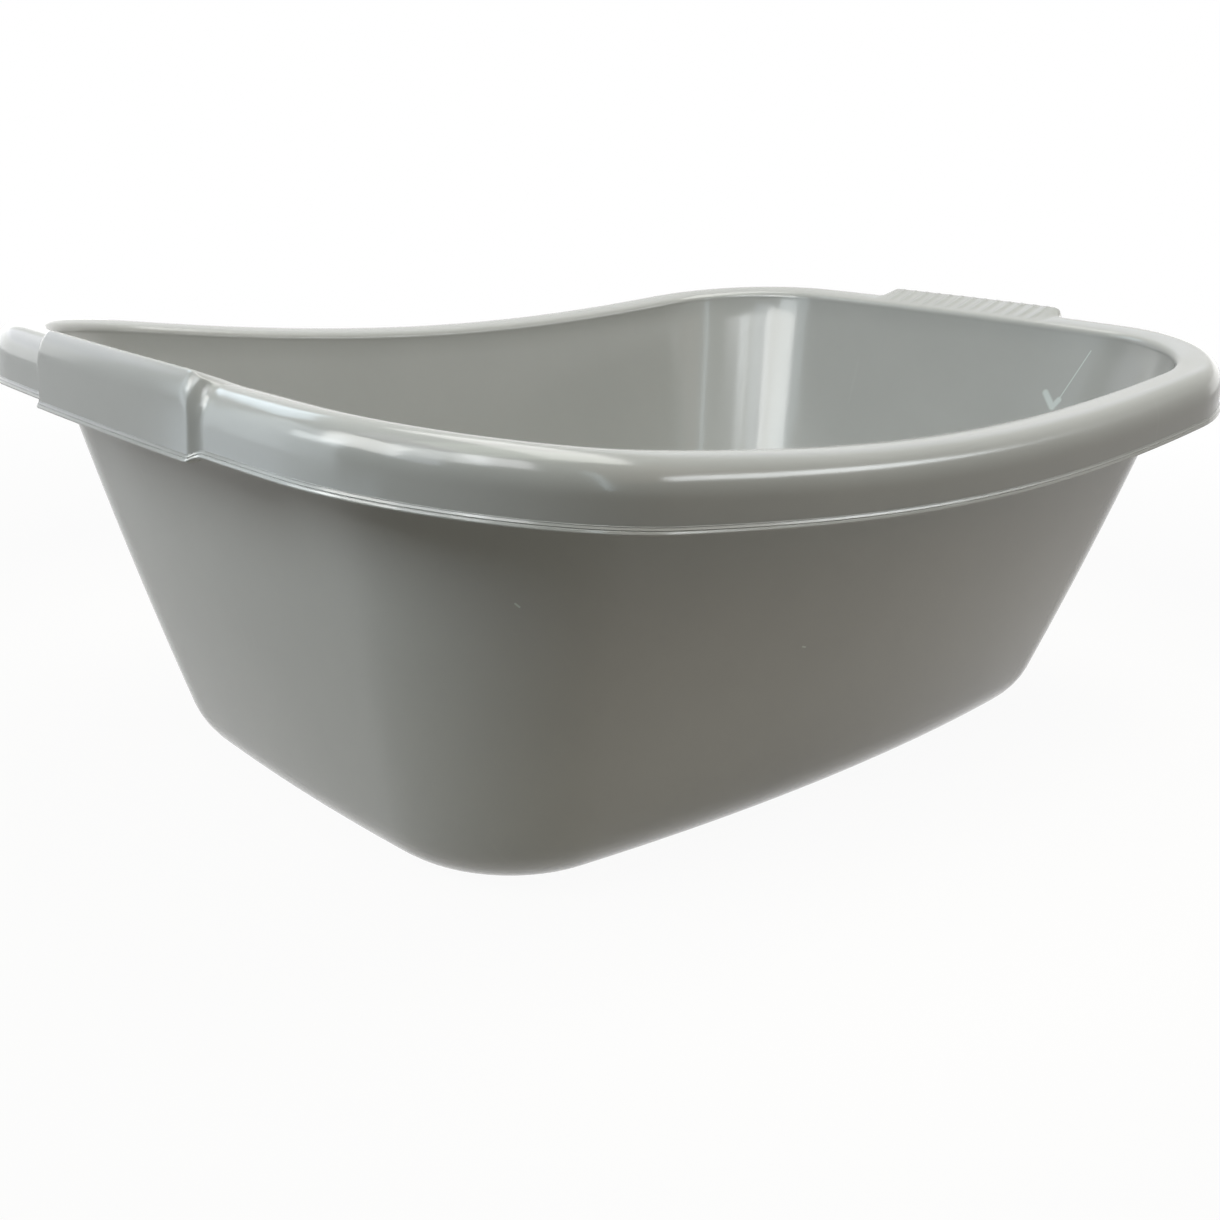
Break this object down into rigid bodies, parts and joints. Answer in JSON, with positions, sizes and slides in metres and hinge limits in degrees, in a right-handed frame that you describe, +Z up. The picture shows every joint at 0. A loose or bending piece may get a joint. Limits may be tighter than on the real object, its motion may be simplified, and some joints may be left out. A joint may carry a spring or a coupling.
{
  "type": "plastic basin",
  "caption": "Rounded rectangular plastic basin with drafted walls, a wide rolled rim that dips along the long sides, and a raised ribbed grip at each end.",
  "frame": {"origin": "centre of the flat foot ring under the base, on the surface that the basin stands on", "axes": "+X along the length, from one grip to the other; +Y across the width, towards the back; +Z up, out of the mouth"},
  "size_m": [0.5058, 0.3544, 0.1842],
  "materials": {
    "body_plastic": "satin"
  },
  "bodies": {
    "root": {"floor": "body_plastic", "wall_front": "body_plastic", "wall_back": "body_plastic", "wall_left": "body_plastic", "wall_right": "body_plastic", "corner_front_left": "body_plastic", "corner_front_right": "body_plastic", "corner_back_left": "body_plastic", "corner_back_right": "body_plastic", "rim_front": "body_plastic", "rim_back": "body_plastic", "rim_front_left": "body_plastic", "rim_front_right": "body_plastic", "rim_back_left": "body_plastic", "rim_back_right": "body_plastic", "grip_left": "body_plastic", "grip_right": "body_plastic"}
  },
  "joints": []
}
